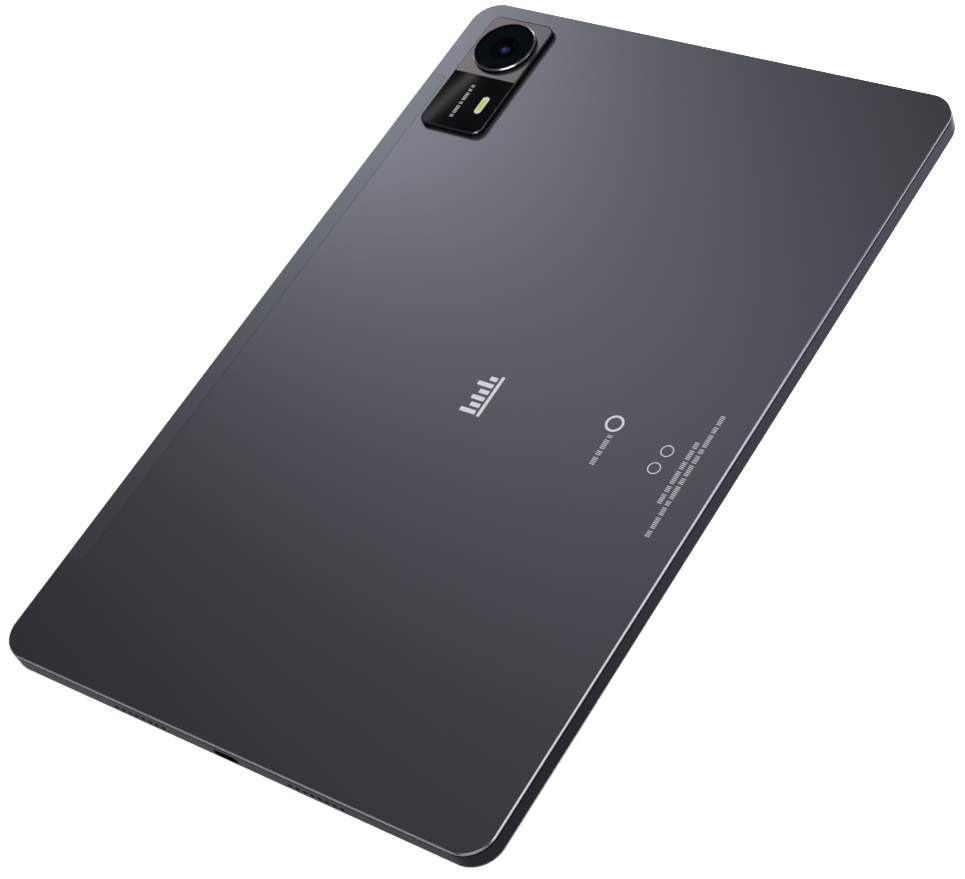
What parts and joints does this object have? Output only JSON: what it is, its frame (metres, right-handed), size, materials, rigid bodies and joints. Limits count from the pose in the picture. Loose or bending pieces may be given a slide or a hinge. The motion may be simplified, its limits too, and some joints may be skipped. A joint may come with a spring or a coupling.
{
  "type": "tablet computer",
  "caption": "Thin tablet computer with a flat metal back, raised rear camera island, antenna strip, edge keys, card tray, charging port and end speakers.",
  "frame": {"origin": "middle of the screen glass's outer face", "axes": "+Z from the screen out through the back, +Y along the length towards the end with the rear camera, +X to the right when the back is seen with that end up"},
  "size_m": [0.1784, 0.2754, 0.0103],
  "materials": {
    "anodised_back": "bead-blasted, dark grey anodised, satin",
    "anodised_frame": "dark grey anodised, satin",
    "antenna_plastic": "painted to match the metal, satin",
    "black_bezel": "moulded black, satin",
    "screen_glass": "polished, black printed border on its inner face",
    "display_glass": "dark, glossy",
    "optical_film": "pearly diffusing film",
    "clear_acrylic": "clear moulded acrylic",
    "white_plastic": "white moulded",
    "inner_metal": "rolled, plain",
    "stamped_steel": "stamped, nickel plated",
    "dark_camera_trim": "black anodised with a cut edge",
    "deco_plate": "brushed and anodised warm grey",
    "black_glass": "black backed, polished",
    "lens_ring_metal": "diamond cut edge over dark metal",
    "lens_glass": "coated, polished",
    "flash_plastic": "frosted diffuser",
    "led_yellow": "phosphor coated",
    "black_plastic": "moulded black",
    "board_green": "solder masked board",
    "board_black": "black solder masked board",
    "chip_black": "moulded epoxy",
    "flex_orange": "polyimide film",
    "battery_pouch": "aluminium laminate pouch, dark coating",
    "adhesive_tape": "white stretch tape",
    "gold_contact": "gold plated",
    "boot_rubber": "moulded silicone",
    "woven_mesh": "fine woven mesh, black",
    "membrane_rubber": "moulded surround with a stiff middle",
    "magnet_metal": "nickel plated",
    "antenna_copper": "copper foil on film"
  },
  "bodies": {
    "housing": {"rear_cover": "anodised_back", "antenna_window": "antenna_plastic", "side_frame": "anodised_frame", "front_bezel": "black_bezel", "cover_glass": "screen_glass", "lcd_cell": "display_glass", "optical_films": "optical_film", "light_guide": "clear_acrylic", "backlight_frame": "white_plastic", "backlight_led_bar": "led_yellow", "display_back_plate": "stamped_steel", "display_flex": "flex_orange", "midplate": "inner_metal", "front_camera": "black_plastic", "camera_trim": "dark_camera_trim", "camera_deco_plate": "deco_plate", "camera_glass_panel": "black_glass", "flash_lens": "flash_plastic", "flash_leds": "led_yellow", "lens_ring": "lens_ring_metal", "lens_cover_glass": "lens_glass", "lens_baffle": "black_plastic", "camera_actuator": "stamped_steel", "camera_sensor_board": "board_black", "main_board": "board_green", "board_shields": "stamped_steel", "board_components": "chip_black", "board_screws": "stamped_steel", "sub_board": "board_green", "sub_board_flex": "flex_orange", "usb_shell": "stamped_steel", "usb_tongue": "black_plastic", "usb_contacts": "gold_contact", "microphone_boot": "boot_rubber", "microphone": "stamped_steel", "battery_cell_left": "battery_pouch", "battery_cell_right": "battery_pouch", "battery_protection_board": "board_green", "battery_adhesive": "adhesive_tape", "speaker_magnets": "magnet_metal", "speaker_meshes": "woven_mesh", "power_key_switch": "flex_orange", "volume_key_switches": "flex_orange", "card_socket": "stamped_steel", "antenna_strips": "antenna_copper", "speaker_box_lower_left": "black_plastic", "speaker_box_lower_right": "black_plastic", "speaker_box_upper_left": "black_plastic", "speaker_box_upper_right": "black_plastic"},
    "power_button": {"power_button": "anodised_frame"},
    "volume_rocker": {"volume_rocker": "anodised_frame"},
    "card_tray": {"card_tray": "anodised_frame"},
    "ejector_rod": {"ejector_rod": "stamped_steel"},
    "ejector_lever": {"ejector_lever": "stamped_steel"},
    "camera_lens_carrier": {"camera_barrel": "black_plastic", "camera_front_element": "lens_glass"},
    "speaker_membrane_lower_left": {"speaker_membrane_lower_left": "membrane_rubber"},
    "speaker_membrane_lower_right": {"speaker_membrane_lower_right": "membrane_rubber"},
    "speaker_membrane_upper_left": {"speaker_membrane_upper_left": "membrane_rubber"},
    "speaker_membrane_upper_right": {"speaker_membrane_upper_right": "membrane_rubber"}
  },
  "joints": [
    {"name": "power_button_press", "type": "slide", "parent": "housing", "child": "power_button", "axis": [0, -1, 0], "range_m": [0, 0.00025], "stiffness_N_per_m": 2000},
    {"name": "volume_rocker_tilt", "type": "hinge", "parent": "housing", "child": "volume_rocker", "pos_m": [-0.0882, 0.108, 0.00375], "axis": [0, 0, 1], "range_deg": [-1.3, 1.3], "stiffness_Nm_per_rad": 0.3},
    {"name": "card_tray_slide", "type": "slide", "parent": "housing", "child": "card_tray", "axis": [-1, 0, 0], "range_m": [0, 0.029]},
    {"name": "ejector_rod_slide", "type": "slide", "parent": "housing", "child": "ejector_rod", "axis": [1, 0, 0], "range_m": [0, 0.0011]},
    {"name": "ejector_lever_turn", "type": "hinge", "parent": "housing", "child": "ejector_lever", "pos_m": [-0.0575, 0.0848, 0.00415], "axis": [0, 0, 1], "range_deg": [-18, 0]},
    {"name": "camera_focus_slide", "type": "slide", "parent": "housing", "child": "camera_lens_carrier", "axis": [0, 0, 1], "range_m": [0, 0.0003], "stiffness_N_per_m": 60, "springref_m": -0.0003},
    {"name": "speaker_membrane_lower_left_stroke", "type": "slide", "parent": "housing", "child": "speaker_membrane_lower_left", "axis": [0, 0, 1], "range_m": [-0.0002, 0.0002], "stiffness_N_per_m": 1500},
    {"name": "speaker_membrane_lower_right_stroke", "type": "slide", "parent": "housing", "child": "speaker_membrane_lower_right", "axis": [0, 0, 1], "range_m": [-0.0002, 0.0002], "stiffness_N_per_m": 1500},
    {"name": "speaker_membrane_upper_left_stroke", "type": "slide", "parent": "housing", "child": "speaker_membrane_upper_left", "axis": [0, 0, 1], "range_m": [-0.0002, 0.0002], "stiffness_N_per_m": 1500},
    {"name": "speaker_membrane_upper_right_stroke", "type": "slide", "parent": "housing", "child": "speaker_membrane_upper_right", "axis": [0, 0, 1], "range_m": [-0.0002, 0.0002], "stiffness_N_per_m": 1500}
  ],
  "couplings": [
    {"joint": "ejector_lever_turn", "follows": "ejector_rod_slide", "rad_per_m": -270}
  ]
}
